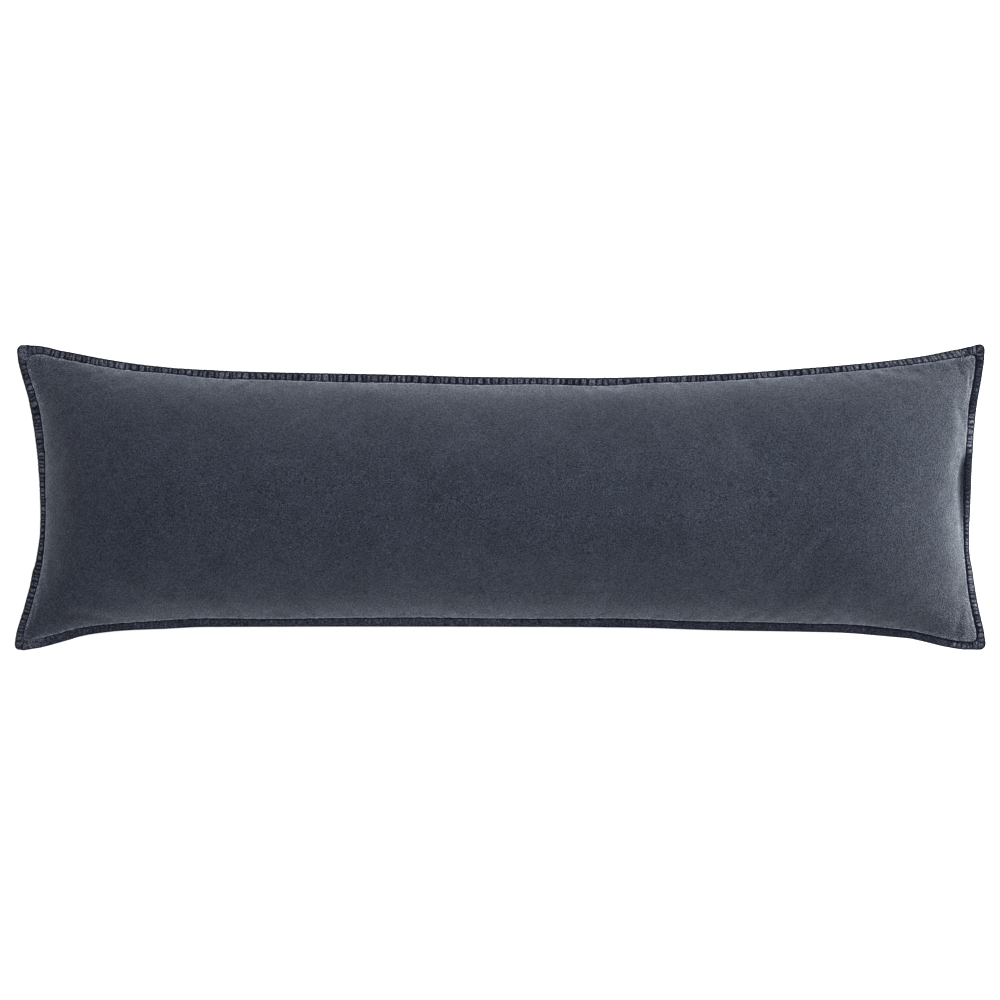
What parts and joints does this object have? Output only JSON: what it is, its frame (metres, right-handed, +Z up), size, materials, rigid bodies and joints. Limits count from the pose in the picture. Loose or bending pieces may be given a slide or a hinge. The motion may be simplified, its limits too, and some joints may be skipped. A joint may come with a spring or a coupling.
{
  "type": "lumbar pillow",
  "caption": "Long lumbar pillow in washed slate-blue velvet with a narrow puckered trim, lying on its back and ready to be placed on a bed or sofa.",
  "frame": {"origin": "middle of the pillow's box, on the surface it lies on", "axes": "+X along the pillow, +Y across it towards the puckered long side, +Z up out of its face"},
  "size_m": [1.2634, 0.3978, 0.1723],
  "materials": {
    "panel_velvet": "washed cotton velvet, matt with a soft sheen at grazing angles",
    "trim_velvet": "washed cotton velvet, folded and puckered"
  },
  "bodies": {
    "root": {"pillow_body": "panel_velvet", "trim_long_strip": "trim_velvet", "trim_left_strip": "trim_velvet", "trim_closing_side": "trim_velvet"}
  },
  "joints": []
}
